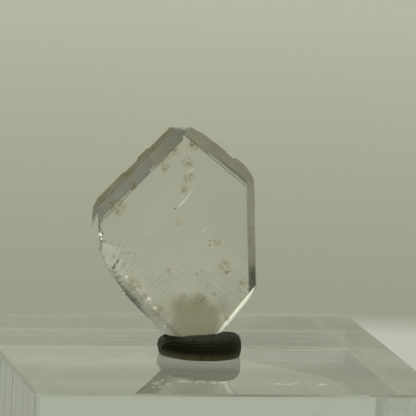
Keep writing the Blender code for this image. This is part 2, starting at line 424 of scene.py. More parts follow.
def veil_material(look):
    """Milk in the root: a brown-grey heart with a feathery top, and a creamy patch on each side."""
    material, tree = new_material("milky_veil")
    place = millimetres(tree, plate=True)
    parts = split(tree, vectors(tree, "SUBTRACT", place, CLOUD_ROOT))
    angle = maths(tree, "ARCTAN2", parts[0], parts[2])
    fan = {0: times(tree, angle, 14.0), 1: times(tree, parts[1], 1.2), 2: times(tree, parts[2], 0.22)}
    streaks = noisy(tree, put(tree, "CombineXYZ", fan).outputs[0], 1.0, 4.0, 0.6)
    puffs = noisy(tree, place, 0.75, 3.0)
    past_middle = maths(tree, "MAXIMUM", maths(tree, "SUBTRACT", parts[0], 0.8), 0.0)
    top = times_plus(tree, puffs, 2.4, times_plus(tree, streaks, 2.2, 8.3))
    height = maths(tree, "ADD", top, times(tree, past_middle, -0.75))
    below_top = spread(tree, maths(tree, "SUBTRACT", height, parts[2]), -0.3, 1.3)
    sideways = maths(tree, "ABSOLUTE", maths(tree, "SUBTRACT", parts[0], 0.05))
    within = spread(tree, times_plus(tree, puffs, -1.4, sideways), 2.9, 1.5)
    heart = times(tree, below_top, within)
    left = ball_mask(tree, place, *LEFT_CREAM, 0.8)
    right = ball_mask(tree, place, *RIGHT_CREAM, 0.8)
    patches = maths(tree, "MAXIMUM", left, right)
    cream = times(tree, patches, spread(tree, puffs, 0.35, 0.65, 0.3, 1.0))
    density = times(tree, heart, spread(tree, streaks, 0.32, 0.68, 0.6, 1.0))
    density = maths(tree, "MAXIMUM", density, times(tree, cream, 0.55))
    browner = times(tree, heart, spread(tree, puffs, 0.35, 0.65, 0.7, 1.0))
    return dressed(material, {
        "Base Color": mixed(tree, browner, look.veil_pale, look.veil_dark),
        "Alpha": times(tree, density, look.veil_density),
        "Roughness": spread(tree, streaks, 0.3, 0.7, 0.6, 0.9),
    })


def stain_material(look):
    """Iron stain: soft ochre to rust smudges at the stained places, clear between them."""
    material, tree = new_material("iron_stain")
    place = millimetres(tree, plate=True)
    flat = vectors(tree, "MULTIPLY", place, (1.0, 0.0, 1.0))
    bend = {"Vector": flat, "Scale": 1.1, "Detail": 2.0}
    shift = put(tree, "TexNoise", bend).outputs["Color"]
    bent = vectors(tree, "MULTIPLY_ADD", shift, (2 * STAIN_BEND, 0.0, 2 * STAIN_BEND), flat)
    mask = 0.0
    for across, up, width, strength in STAINS:
        middle = (across + STAIN_BEND, 0.0, up + STAIN_BEND)
        spot = ball_mask(tree, bent, middle, (width, 1.0, width), 0.9)
        mask = maths(tree, "MAXIMUM", mask, times(tree, spot, strength))
    grain = noisy(tree, flat, 1.9, 3.0, 0.55)
    patchy = spread(tree, grain, 0.38, 0.62)
    factor = times(tree, mask, spread(tree, grain, 0.5, 0.68))
    return dressed(material, {
        "Base Color": mixed(tree, factor, look.stain_pale, look.stain_dark),
        "Alpha": times(tree, times(tree, mask, patchy), STAIN_STRENGTH),
        "Roughness": spread(tree, grain, 0.3, 0.7, 0.5, 0.85),
    })


def silt_material(look):
    """Dark silt in small grains."""
    material, tree = new_material("dark_silt")
    place = millimetres(tree, plate=True)
    factor = spread(tree, noisy(tree, place, 3.5, 3.0), 0.36, 0.64)
    return dressed(material, {
        "Base Color": mixed(tree, factor, look.stain_dark, look.silt),
        "Roughness": spread(tree, factor, 0.0, 1.0, 0.5, 0.85),
    })


def glowing(material, colour, roughness, glow):
    """A bright thin wall. The glow stands for its glint."""
    return dressed(material, {
        "Base Color": colour,
        "Roughness": roughness,
        "Emission Color": colour,
        "Emission Strength": glow,
    })


def crack_material(look, name, glow):
    """The walls of a crack: white with a painted glint, and dull at one end and in patches."""
    material, tree = new_material(name)
    place = millimetres(tree, plate=True)
    dull = ball_mask(tree, place, *CRACK_END, 0.6)
    patch = spread(tree, noisy(tree, place, 2.6, 3.0), 0.4, 0.6, 0.0, 0.35)
    factor = maths(tree, "MINIMUM", maths(tree, "ADD", dull, patch), 1.0)
    colour = mixed(tree, factor, look.crack_bright, CRACK_DULL)
    return glowing(material, colour, spread(tree, factor, 0.0, 1.0, 0.18, 0.6), glow)


def putty_material(look):
    """Near-black putty with a slight grease sheen, a little dust and a browner foot of painted light."""
    material, tree = new_material("dark_putty")
    place = millimetres(tree)
    wear = use_group(tree, fine_wear_group(), {"Place": place, "Grain": 2.2})
    cloudy = spread(tree, noisy(tree, place, 0.7, 4.0), 0.35, 0.65)
    colour = mixed(tree, cloudy, look.putty_dark, look.putty_light)
    # The lighter, browner foot is painted light from the block beneath.
    foot = spread(tree, split(tree, place)[2], 26.05, 25.25)
    foot = times(tree, foot, spread(tree, cloudy, 0.0, 1.0, 0.5, 1.0))
    colour = mixed(tree, foot, colour, look.putty_lit_foot)
    colour = mixed(tree, times(tree, wear["Dust"], 0.35), colour, PUTTY_DUST)
    sheen = spread(tree, noisy(tree, place, 1.6, 3.0), 0.3, 0.7, 0.42, 0.64)
    return dressed(material, {
        "Base Color": colour,
        "Roughness": times_plus(tree, wear["Rubs"], -0.12, sheen),
        "Specular IOR Level": 0.22,
        "Specular Tint": rgba(look.putty_sheen),
        "Normal": bump(tree, noisy(tree, place, 7.0, 4.0, 0.65), 0.00003),
    })


def acrylic_material(look):
    """Clear acrylic with faint rubs, haze and dust, and saw marks on its sides and back."""
    material, tree = new_material("clear_acrylic")
    place = millimetres(tree)
    wear = use_group(tree, fine_wear_group(), {"Place": place, "Grain": 0.9})
    haze = spread(tree, noisy(tree, place, 0.09, 3.0), 0.45, 0.7, 0.0, 0.035)
    colour = mixed(tree, times(tree, wear["Dust"], 0.4), look.acrylic_tint, ACRYLIC_DUST)
    matt = times_plus(tree, wear["Rubs"], 0.10, haze)
    matt = times_plus(tree, wear["Dust"], 0.25, matt)
    spot = ball_mask(tree, place, (0.0, 0.0, 0.0), (PATCH_RADIUS, PATCH_RADIUS, 0.6), 0.03)
    matt = times_plus(tree, spot, 0.16, matt)
    parts = split(tree, place)
    back = spread(tree, parts[1], 24.4, 24.9)
    aside = spread(tree, maths(tree, "ABSOLUTE", parts[0]), 24.4, 24.9)
    on_aside = times(tree, times(tree, parts[1], 0.7), aside)
    across_marks = times_plus(tree, times(tree, parts[2], 0.75), back, on_aside)
    sawn = put(tree, "CombineXYZ", {0: across_marks, 1: times(tree, aside, 7.0)}).outputs[0]
    sawing = noisy(tree, sawn, 1.0, 4.0, 0.7)
    low_down = spread(tree, parts[2], 15.0, 11.0, 0.15, 1.0)
    on_sides = maths(tree, "MAXIMUM", times(tree, back, low_down), aside)
    sawn_matt = times(tree, spread(tree, sawing, 0.46, 0.62), on_sides)
    matt = times_plus(tree, sawn_matt, 0.08, matt)
    sawn_tone = times(tree, spread(tree, sawing, 0.46, 0.58), on_sides)
    sawn_tone = maths(tree, "MAXIMUM", sawn_tone, times(tree, aside, 0.4))
    colour = mixed(tree, sawn_tone, colour, look.sawn_tint)
    normal = bump(tree, noisy(tree, place, 0.05, 1.0), 0.00004)
    normal = bump(tree, wear["Rubs"], 0.000004, normal)
    absorbing(tree, ACRYLIC_BODY, ACRYLIC_DENSITY)
    return dressed(material, {
        "Base Color": colour,
        "Roughness": matt,
        "Normal": bump(tree, times(tree, sawing, on_sides), 0.00035, normal),
        "Transmission Weight": 1.0,
        "IOR": ACRYLIC_IOR,
    })


SHEET_MIDDLE = (0.04, -0.009, 0.0)
# How softly the sheet ends, how far off the ground has its far tone, and where the painted light and shade
# under the block end.
SHEET_EDGE = 0.018
GROUND_FAR = 0.56
BLOCK_PAST = (0.030, 0.036)


def table_material(look):
    """Pale matt paper: a lighter sheet round the block, with painted light and shade under it, and the plain
    ground beyond it.
    """
    material, tree = new_material("pale_table")
    place = put(tree, "TexCoord").outputs["Object"]
    away = vectors(tree, "LENGTH", vectors(tree, "SUBTRACT", place, SHEET_MIDDLE))
    edge = spread(tree, away, look.sheet_radius, look.sheet_radius + SHEET_EDGE)
    rising = spread(tree, away, look.sheet_radius + SHEET_EDGE, GROUND_FAR)
    patch = (PATCH_RADIUS * MM, PATCH_RADIUS * MM, 0.01)
    under = ball_mask(tree, place, (0.0, 0.0, 0.0), patch, 0.03)
    # Painted light under the block's left side and painted shade under its right side.
    rightwards = spread(tree, split(tree, place)[0], -0.004, 0.012)
    past_block = spread(tree, vectors(tree, "LENGTH", place), *BLOCK_PAST)
    shaded = mixed(tree, rightwards, look.sheet_lit, look.sheet_shaded)
    # A round patch of another tone on the paper right under the block.
    shaded = mixed(tree, under, shaded, look.sheet_round_patch)
    sheet = mixed(tree, past_block, shaded, look.sheet_colour)
    fibre = noisy(tree, place, 900.0, 3.0)
    return dressed(material, {
        "Base Color": mixed(tree, edge, sheet, mixed(tree, rising, look.ground_near, look.ground_far)),
        "Roughness": spread(tree, fibre, 0.3, 0.7, 0.75, 0.9),
        "Normal": bump(tree, fibre, 0.00001),
        "Specular IOR Level": 0.2,
    })


def amount(name, description, default, least=0.0, **kind):
    return FloatProperty(name=name, description=description, default=default, min=least, **kind)


def length(name, description, default, least=0.0):
    return amount(name, description, default, least, unit="LENGTH")


def swatch(name, description, default):
    return FloatVectorProperty(
        name=name, description=description, default=default, subtype="COLOR", size=3, min=0.0, max=1.0
    )


class CrystalLook(bpy.types.PropertyGroup):
    lines_per_mm: amount("Growth lines", "Growth lines in a millimetre of the long axis", 3.4, 0.2)
    line_depth: length("Line depth", "How deep the growth lines are", 0.000016)
    worn_edge: length("Worn edge", "Width of the wear along the long edges", 0.00004)
    polish: amount("Polish", "Roughness of the clean faces", 0.012)
    etch: amount("Etch", "Roughness of the sloping end faces", 0.24)
    # Painted shade for the rim faces, warm-tinted; each face takes its own share of it.
    rim_shade: swatch("Rim tint", "Iron-stained rim of the plate", (0.64, 0.62, 0.49))
    clear_tint: swatch("Clear tint", "Tint of the clear quartz", (1.0, 1.0, 0.985))
    root_tint: swatch("Root tint", "Tint of the quartz at its root", (0.97, 0.96, 0.91))


class InsideLook(bpy.types.PropertyGroup):
    veil_density: amount("Veil", "How dense each veil of milk is", 0.105, max=1.0)
    veil_pale: swatch("Veil, pale", "Edges of the milky veils", (0.86, 0.82, 0.66))
    veil_dark: swatch("Veil, dark", "Heart of the milky veils", (0.98, 0.86, 0.50))
    stain_pale: swatch("Stain, pale", "Thin iron stain", (0.82, 0.58, 0.25))
    stain_dark: swatch("Stain, dark", "Thick iron stain", (0.58, 0.37, 0.14))
    silt: swatch("Silt", "Dark grains", (0.16, 0.12, 0.05))
    # Also the colour of the crack's glow, a painted glint.
    crack_bright: swatch("Crack", "Open part of the crack", (0.95, 0.94, 0.86))


class PuttyLook(bpy.types.PropertyGroup):
    voxel: length("Detail", "Size of the putty's mesh cells", 0.00008, 0.00004)
    ridge_spacing: length("Ridge spacing", "Spacing of the pressed ridges", 0.00036, 0.0001)
    ridge_depth: length("Ridge depth", "Depth of the pressed ridges", 0.00010)
    putty_dark: swatch("Putty, dark", "Darker patches", (0.0045, 0.0043, 0.0024))
    putty_light: swatch("Putty, light", "Lighter patches", (0.009, 0.0083, 0.0048))
    # Painted light from the block beneath, on the putty's foot.
    putty_lit_foot: swatch("Putty, foot", "The browner rim on the block", (0.15, 0.138, 0.082))
    putty_sheen: swatch("Putty, sheen", "Tint of its slight grease sheen", (1.0, 0.98, 0.62))


class BlockLook(bpy.types.PropertyGroup):
    acrylic_tint: swatch("Acrylic tint", "Tint of the clear block", (0.975, 0.98, 0.96))
    # Also the colour of the scratches' glow, a painted glint.
    scratch: swatch("Scratches", "Brightest part of the scratches", (0.97, 0.95, 0.82))
    sawn_tint: swatch("Sawn tint", "Tint in the saw marks of its sides", (0.33, 0.34, 0.285))


class StageLook(bpy.types.PropertyGroup):
    sheet_radius: length("Sheet radius", "How far the lighter paper reaches", 0.1525)
    sheet_colour: swatch("Sheet", "The paper round the block", (0.635, 0.650, 0.630))
    # The round patch right under the block has a tone of its own.
    sheet_round_patch: swatch("Sheet, pressed", "The round patch pressed to the block", (0.54, 0.525, 0.437))
    # Painted light and painted shade on the paper under the block's two sides.
    sheet_lit: swatch("Sheet, lit", "The paper under the block's left side", (0.65, 0.655, 0.592))
    sheet_shaded: swatch("Sheet, shaded", "The paper under the block's right side", (0.29, 0.295, 0.247))
    ground_near: swatch("Ground, near", "The ground just past the paper", (0.405, 0.405, 0.345))
    ground_far: swatch("Ground, far", "The ground far behind", (0.60, 0.60, 0.53))
    light_colour: swatch("Light", "Colour of the soft light", (0.98, 1.0, 0.87))
    wall_colour: swatch("Walls", "Colour of the light low down", (0.97, 1.0, 0.76))
    light_level: amount("Light level", "Strength of the soft light", 0.665)
    window_level: amount("Window level", "Strength of the soft window", 0.7)


LOOKS = {
    "twin_crystal": CrystalLook,
    "twin_inside": InsideLook,
    "twin_putty": PuttyLook,
    "twin_block": BlockLook,
    "twin_stage": StageLook,
}


# The proportions of a small break, how many lumps it has in a millimetre and how deep they are.
PEBBLE_FORM = (1.25, 0.62, 0.9)
PEBBLE_LUMPS = 2.2
PEBBLE_UNEVEN = 0.35
# Small chips along the broken lower left edge: across, up and through the plate, and size, in millimetres.
CHIPS = (
    (-8.9, 11.1, -1.2, 0.55), (-7.9, 10.3, -1.3, 0.42), (-7.0, 9.2, -1.25, 0.50), (-6.3, 8.3, -1.3, 0.36),
    (-5.6, 7.7, -1.2, 0.48), (-5.0, 6.7, -1.3, 0.34), (-4.3, 6.0, -1.25, 0.42), (-11.0, 17.2, -0.9, 0.60),
    (-10.7, 16.5, -0.3, 0.50), (-10.9, 17.3, 0.7, 0.55),
)


def rough_pebble(name, seed, levels=2):
    """A lopsided pebble a millimetre across, the shape of one small break."""
    bpy.ops.mesh.primitive_ico_sphere_add(subdivisions=levels, radius=0.5 * MM)
    pebble = named(name)
    edit_mesh("SELECT")
    bpy.ops.transform.resize(value=PEBBLE_FORM)
    leave_mesh()
    for vert in pebble.data.vertices:
        push = noise.noise(vert.co / MM * PEBBLE_LUMPS + Vector((seed, 0.0, 0.0)))
        vert.co *= 1.0 + PEBBLE_UNEVEN * push
    return pebble


def turned(spin, tip):
    """A turn in the plate's plane after a tip out of it."""
    return Matrix.Rotation(spin, 4, "Y") @ Matrix.Rotation(tip, 4, "X")


# The faces along the rim that get painted shade: which way each looks, in the plate's own axes,
# how much of the look's painted rim shade it has, how clear it is, and how much of the look's etch it has.
RIM_FACES = (
    ("left_ridge", (-0.42, -0.79, 0.46), 1.5, 0.62, 1.0),
    ("left_ridge_behind", (-0.42, 0.79, 0.46), 0.0, 0.36, 1.0),
    ("right_ridge", (0.42, -0.79, 0.46), 1.1, 0.62, 1.0),
    ("right_ridge_behind", (0.42, 0.79, 0.46), 0.4, 0.62, 1.0),
    ("right_flank", (0.92, -0.39, 0.00), 1.6, 0.62, 1.0),
    ("right_flank_behind", (0.92, 0.39, 0.00), 1.7, 0.62, 1.0),
    ("left_foot", (-0.64, -0.50, -0.58), 0.60, 0.78, 0.4),
    ("left_foot_behind", (-0.64, 0.50, -0.58), 0.40, 0.85, 0.4),
)
# The two slopes of the left ridge, which stay unworn where they meet the broad faces.
LEFT_RIDGE = (RIM_FACES[0][1], RIM_FACES[1][1])
BROAD_FACES = ((0.0, -1.0, 0.0), (0.0, 1.0, 0.0))
FACING_WITHIN = radians(4)
# Edges this sharp and this long are worn. Gentler ones between small faces are shaded smooth.
WORN_FROM_ANGLE = radians(24)
WORN_FROM_LENGTH = 1.4 * MM
SMOOTH_WITHIN = radians(17)
# Half thicknesses of the two crystals' broad faces, and the one that both are brought to, in millimetres.
BROAD_DEPTHS = (1.2, 1.31)
LEVEL_DEPTH = 1.27
CHIP_SCALE = 1.6


def facing(face, direction):
    """Whether a face looks one way, given in the plate's axes."""
    upright = Matrix.Rotation(-PLATE_LEAN, 3, "Y")
    return (upright @ face.normal).angle(Vector(direction), pi) < FACING_WITHIN


def wear_long_edges(obj, width):
    """Bevels the long sharp edges only, so the small breaks stay as they are."""
    only(obj)
    edit_mesh("DESELECT")
    mesh = bmesh.from_edit_mesh(obj.data)
    for edge in mesh.edges:
        sides = edge.link_faces
        sharp = len(sides) == 2 and edge.calc_face_angle(0.0) > WORN_FROM_ANGLE
        ridge = any(facing(face, way) for face in sides for way in LEFT_RIDGE)
        broad = any(facing(face, way) for face in sides for way in BROAD_FACES)
        edge.select_set(sharp and edge.calc_length() > WORN_FROM_LENGTH and not (ridge and broad))
    bmesh.update_edit_mesh(obj.data)
    bpy.ops.mesh.bevel(offset=width, segments=2, profile=0.6, clamp_overlap=True, affect="EDGES")
    leave_mesh()


def level_seam(obj):
    """Brings the two crystals' faces level where they meet, so no straight line shows along the seam."""
    for vert in obj.data.vertices:
        if BROAD_DEPTHS[0] * MM < abs(vert.co.y) < BROAD_DEPTHS[1] * MM:
            vert.co.y = copysign(LEVEL_DEPTH * MM, vert.co.y)
    only(obj)
    edit_mesh("SELECT")
    bpy.ops.mesh.remove_doubles(threshold=0.000004)
    bpy.ops.mesh.dissolve_degenerate(threshold=0.000003)
    bpy.ops.mesh.dissolve_limited(angle_limit=FLAT_WITHIN)
    leave_mesh()


class TWIN_OT_crystal(bpy.types.Operator):
    """Builds the clear twin from the CAD twin, with worn edges and small chips"""

    bl_idname = "twin.crystal"
    bl_label = "Clear twin"

    def execute(self, context):
        look = context.scene.twin_crystal
        crystal = cad_copy("crystal_twin", "clear_twin")
        level_seam(crystal)
        wear_long_edges(crystal, look.worn_edge)
        dice = random.Random(5)
        places = []
        for across, up, depth, size in CHIPS:
            turn = turned(dice.uniform(0.0, tau), dice.uniform(-0.5, 0.5))
            at = Matrix.Translation(on_plate(across, up, depth))
            places.append(at @ turn @ Matrix.Scale(size * CHIP_SCALE, 4))
        chips = copies_joined(rough_pebble("chip", 3.0), places, "chips")
        cut_away(crystal, chips)
        only(crystal)
        bpy.ops.object.shade_smooth_by_angle(angle=SMOOTH_WITHIN)
        finish_piece(crystal, quartz_material(look, "clear_quartz", look.polish))
        # Each rim face gets its own copy of the quartz, darkened by its share of the painted rim shade.
        for number, (name, direction, rim_shading, clearness, etched) in enumerate(RIM_FACES, 1):
            tint = [1.0 - (1.0 - part) * rim_shading for part in look.rim_shade]
            rim = quartz_material(look, name, look.etch * etched, clearness, tint)
            crystal.data.materials.append(rim)
            for face in crystal.data.polygons:
                if facing(face, direction):
                    face.material_index = number
        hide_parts("crystal_twin")
        return {"FINISHED"}


# How far the thin sheets wave, in millimetres, and how thick they are.
SHEET_WAVE = 0.22
SHEET_SKIN = 0.00002


def wavy_sheet(name, middle, size, depth):
    """A very thin upright sheet with a slight wave, given in millimetres of the plate."""
    bpy.ops.mesh.primitive_grid_add(x_subdivisions=22, y_subdivisions=22, size=1.0)
    sheet = named(name)
    for vert in sheet.data.vertices:
        across, up = middle[0] + size[0] * vert.co.x, middle[1] + size[1] * vert.co.y
        wave = SHEET_WAVE * noise.noise(Vector((across * 0.45, up * 0.25, depth * 7.3)))
        vert.co = on_plate(across, up, depth + wave)
    modify(sheet, "SOLIDIFY", thickness=SHEET_SKIN)
    return sheet


def inside_twin(obj):
    """Cuts an object to the shape of the quartz round it."""
    cut_away(obj, shrunk_twin("limits", on_plate(0.0, 14.0), 0.98), "INTERSECT")
    return obj


# The middle and the size of the veils across and up, and how deep they fill the plate, in millimetres.
VEIL_MIDDLE = (0.6, 6.8)
VEIL_SIZE = (12.0, 9.6)
VEIL_DEPTH = 1.8


class TWIN_OT_cloud(bpy.types.Operator):
    """Builds the milky cloud at the root of the twin from soft veils"""

    bl_idname = "twin.cloud"
    bl_label = "Milky root"

    def execute(self, context):
        depths = [(layer / (VEIL_LAYERS - 1) - 0.5) * VEIL_DEPTH for layer in range(VEIL_LAYERS)]
        sheets = [wavy_sheet("veil", VEIL_MIDDLE, VEIL_SIZE, depth) for depth in depths]
        veil = inside_twin(joined("milky_veil", sheets))
        finish_piece(veil, veil_material(context.scene.twin_inside))
        return {"FINISHED"}


# Iron stains in the plate: across and up, how far they spread, both in millimetres, and how strong they are.
STAINS = (
    (-2.6, 24.9, 0.75, 1.0), (-2.9, 25.7, 0.90, 0.6), (-4.0, 25.4, 0.80, 0.5), (-6.6, 22.9, 0.70, 1.0),
    (0.3, 25.3, 0.80, 0.8), (0.3, 23.4, 0.80, 0.9), (-1.6, 26.9, 1.20, 0.6), (0.9, 27.5, 0.90, 0.9),
    (-9.3, 20.6, 0.80, 0.7), (-8.3, 20.5, 0.90, 0.8), (-8.6, 19.8, 0.70, 0.7), (-0.3, 21.9, 0.80, 0.6),
    (-1.1, 18.0, 0.50, 0.5), (4.4, 12.3, 0.85, 0.8), (4.7, 11.6, 0.60, 0.8), (6.7, 10.1, 0.55, 0.7),
    (-2.4, 12.0, 0.45, 0.5), (3.6, 15.4, 0.70, 0.4), (-4.0, 7.4, 0.80, 0.8), (-3.9, 6.3, 0.75, 0.9),
    (-3.1, 5.0, 0.60, 0.9), (-7.0, 10.6, 1.10, 0.7), (-5.9, 9.0, 0.90, 0.7), (1.3, 8.4, 0.90, 0.6),
    (-0.9, 8.7, 0.55, 0.9), (4.6, 5.6, 0.50, 0.8),
)
# The sheet that carries them: its middle and size across and up, and how deep it lies.
STAIN_MIDDLE = (-1.0, 16.0)
STAIN_SIZE = (20.0, 26.0)
STAIN_DEPTH = -0.5
# How far the stains' outlines wander, in millimetres, and how much they hide.
STAIN_BEND = 0.45
STAIN_STRENGTH = 0.74
# Spots of dark grains: across and up, how far they spread, in millimetres, and how many grains.
DARK_GRAINS = (
    (1.2, 11.5, 0.30, 12), (1.7, 11.8, 0.20, 5), (2.4, 9.7, 0.26, 9), (3.0, 8.9, 0.20, 7),
    (2.8, 15.4, 0.12, 8), (2.8, 14.8, 0.14, 10), (4.6, 4.4, 0.20, 9),
)
# Bright splinters in the breaks of the left flank, given in the same way; they glow as painted glints.
GLINTS = (
    (-10.75, 17.1, 0.22, 9), (-10.5, 16.6, 0.20, 5), (-7.7, 11.6, 0.35, 5), (-6.3, 9.9, 0.30, 5),
    (-5.1, 8.6, 0.35, 9), (-4.3, 7.6, 0.25, 6), (-3.6, 6.4, 0.25, 6), (-2.8, 5.2, 0.20, 4),
)
# How far each grain is from the one before, in millimetres.
GRAIN_STEP = 0.07


def grain_places(spots, seed, smallest, largest):
    """Places for the grains of each spot, strung along a few short wandering threads."""
    dice = random.Random(seed)
    places = []
    for across, up, width, count in spots:
        layer = dice.uniform(-0.8, 0.6)
        x, y, heading = 0.0, 0.0, dice.uniform(0.0, tau)
        for _ in range(count):
            heading += dice.gauss(0.0, 0.7)
            x += GRAIN_STEP * cos(heading)
            y += GRAIN_STEP * sin(heading)
            if hypot(x, y) > width or dice.random() < 0.08:
                x, y = dice.gauss(0.0, width * 0.4), dice.gauss(0.0, width * 0.4)
            depth = layer + dice.gauss(0.0, 0.06)
            at = on_plate(across + x, up + y, depth)
            size = dice.uniform(smallest, largest)
            turn = turned(dice.uniform(0.0, tau), dice.gauss(0.0, 0.5))
            shape = Matrix.Diagonal((size, size * 0.35, size, 1.0))
            places.append(Matrix.Translation(at) @ turn @ shape)
    return places


class TWIN_OT_stains(bpy.types.Operator):
    """Builds the smudges of iron stain and the grains of dark silt inside the twin"""

    bl_idname = "twin.stains"
    bl_label = "Iron stains"

    def execute(self, context):
        look = context.scene.twin_inside
        stains = wavy_sheet("iron_stains", STAIN_MIDDLE, STAIN_SIZE, STAIN_DEPTH)
        finish_piece(inside_twin(stains), stain_material(look))
        places = grain_places(DARK_GRAINS, 22, 0.05, 0.12)
        darks = copies_joined(rough_pebble("grain", 9.0, 1), places, "dark_grains")
        finish_piece(darks, silt_material(look))
        return {"FINISHED"}


# Thin walls in the plate: the points each follows across and up, in millimetres, how far it leans sideways,
# how deep it lies and how far it reaches through the plate.
CRACK_WALLS = (
    (
        ((-1.75, 19.7), (-1.25, 19.9), (-0.75, 20.25), (-0.3, 20.7), (0.2, 21.25), (0.75, 21.9)),
        0.28, -0.7, 0.35,
    ),
    (((1.7, 16.6), (2.0, 16.9), (2.4, 17.3), (2.6, 17.2)), 0.14, -0.7, 0.3),
    (((0.1, 23.9), (0.5, 24.4), (1.0, 24.6)), 0.14, -0.7, 0.3),
)
# Faint marks on the left flank, given in the same way; they glow faintly, a painted glint.
FAINT_WALLS = (
    (((-8.05, 14.9), (-8.1, 13.8), (-7.9, 12.6)), 0.10, -1.05, 0.2),
    (((-7.9, 14.7), (-7.1, 14.8), (-6.5, 14.4), (-6.7, 13.6), (-7.4, 13.0)), 0.10, -1.05, 0.2),
)
# A larger splinter at the notch, which glows as a painted glint too.
NOTCH_SPARK = (((-11.0, 17.4), (-10.75, 17.0), (-10.6, 16.6)), 0.5, -0.6, 0.3)
WALL_THICKNESS = 0.00004
# How strongly the crack, the faint marks and the splinters glow: painted glints.
CRACK_GLOW = 0.45
FAINT_GLOW = 0.08
GLINT_GLOW = 0.75


def crack_strip(name, points, lean, depth, reach):
    """A thin tilted wall through the plate that follows points given across and up."""
    bpy.ops.mesh.primitive_grid_add(x_subdivisions=24, y_subdivisions=5, size=1.0)
    strip = named(name)
    last = len(points) - 1
    for vert in strip.data.vertices:
        along = (vert.co.x + 0.5) * last
        step = min(int(along), last - 1)
        start, end = Vector(points[step]), Vector(points[step + 1])
        at = start.lerp(end, along - step)
        taper = sin(pi * min(1.0, max(0.0, (vert.co.x + 0.5) * 0.94 + 0.03)))
        wobble = 0.05 * noise.noise(Vector((along * 2.0, vert.co.y * 3.0, 4.0)))
        in_depth = vert.co.y * reach * taper
        vert.co = on_plate(at.x + wobble, at.y + wobble - lean * in_depth / reach, depth + in_depth)
    modify(strip, "SOLIDIFY", thickness=WALL_THICKNESS, offset=0.0)
    return strip


class TWIN_OT_crack(bpy.types.Operator):
    """Builds the healed crack and the small bright breaks inside the twin; all glow as painted glints"""

    bl_idname = "twin.crack"
    bl_label = "Crack"

    def execute(self, context):
        look = context.scene.twin_inside
        crack = joined("healed_crack", [crack_strip("crack", *wall) for wall in CRACK_WALLS])
        finish_piece(crack, crack_material(look, "crack_wall", CRACK_GLOW))
        faint = joined("faint_marks", [crack_strip("mark", *wall) for wall in FAINT_WALLS])
        finish_piece(faint, crack_material(look, "faint_wall", FAINT_GLOW))
        places = grain_places(GLINTS, 31, 0.06, 0.24)
        splinters = copies_joined(rough_pebble("glint", 5.0, 1), places, "glints")
        glints = joined("glints", [splinters, crack_strip("notch_spark", *NOTCH_SPARK)])
        finish_piece(glints, crack_material(look, "bright_glint", GLINT_GLOW))
        return {"FINISHED"}


PUTTY_PLACE = Vector((-0.00033, -0.0008, BLOCK_TOP))
PUTTY_HALF_WIDTH = 0.00522
PUTTY_HALF_DEPTH = 0.0050
PUTTY_HEIGHT = 0.00258
PUTTY_RISE_RIGHT = 0.00033
PUTTY_DROP_BACK = 0.0006
PUTTY_SUNK = 0.0008
PUTTY_SIDES = 12
# How far its flat ends are drawn in, how much it bulges at its waist and how much it narrows at its foot.
PUTTY_INSET = 0.30
PUTTY_WAIST = 1.05
PUTTY_FOOT = 0.96


def pressed_pad(name):
    """The pad before the twin is pushed in: fullest at its waist, higher on the right, lower behind."""
    bpy.ops.mesh.primitive_cylinder_add(
        vertices=PUTTY_SIDES, radius=1.0, depth=PUTTY_HEIGHT + PUTTY_SUNK, end_fill_type="NGON"
    )
    pad = named(name)
    edit_mesh("DESELECT")
    mesh = bmesh.from_edit_mesh(pad.data)
    for face in mesh.faces:
        face.select_set(len(face.verts) == PUTTY_SIDES)
    bmesh.update_edit_mesh(pad.data)
    bpy.ops.mesh.inset(thickness=PUTTY_INSET, use_individual=True, use_even_offset=False)
    mesh = bmesh.from_edit_mesh(pad.data)
    for edge in mesh.edges:
        edge.select_set(abs(edge.verts[0].co.z - edge.verts[1].co.z) > PUTTY_HEIGHT / 2)
    bmesh.update_edit_mesh(pad.data)
    bpy.ops.mesh.subdivide(number_cuts=1)
    leave_mesh()
    for vert in pad.data.vertices:
        if abs(vert.co.z) < 0.5 * MM:
            fullness = PUTTY_WAIST
        elif vert.co.z < 0.0:
            fullness = PUTTY_FOOT
        else:
            fullness = 1.0
        vert.co.x *= fullness * PUTTY_HALF_WIDTH
        vert.co.y *= fullness * PUTTY_HALF_DEPTH
        if vert.co.z > PUTTY_HEIGHT / 2:
            vert.co.z += PUTTY_RISE_RIGHT * vert.co.x / PUTTY_HALF_WIDTH
            vert.co.z -= PUTTY_DROP_BACK * max(0.0, vert.co.y / PUTTY_HALF_DEPTH)
        vert.co.z += (PUTTY_HEIGHT - PUTTY_SUNK) / 2
        vert.co += PUTTY_PLACE
    modify(pad, "SUBSURF", levels=2, render_levels=2)
    edit_mesh("SELECT")
    underside = (0.0, 0.0, BLOCK_TOP + CLEAR_OF_BLOCK)
    bpy.ops.mesh.bisect(plane_co=underside, plane_no=(0.0, 0.0, 1.0), use_fill=True, clear_inner=True)
    leave_mesh()
    return pad


# The middle of the ridges that curve over the pad's left end, from the middle of its foot.
RIDGE_MIDDLE = Vector((-0.0037, -0.0030, 0.0010))


def held(value):
    return min(1.0, max(0.0, value))


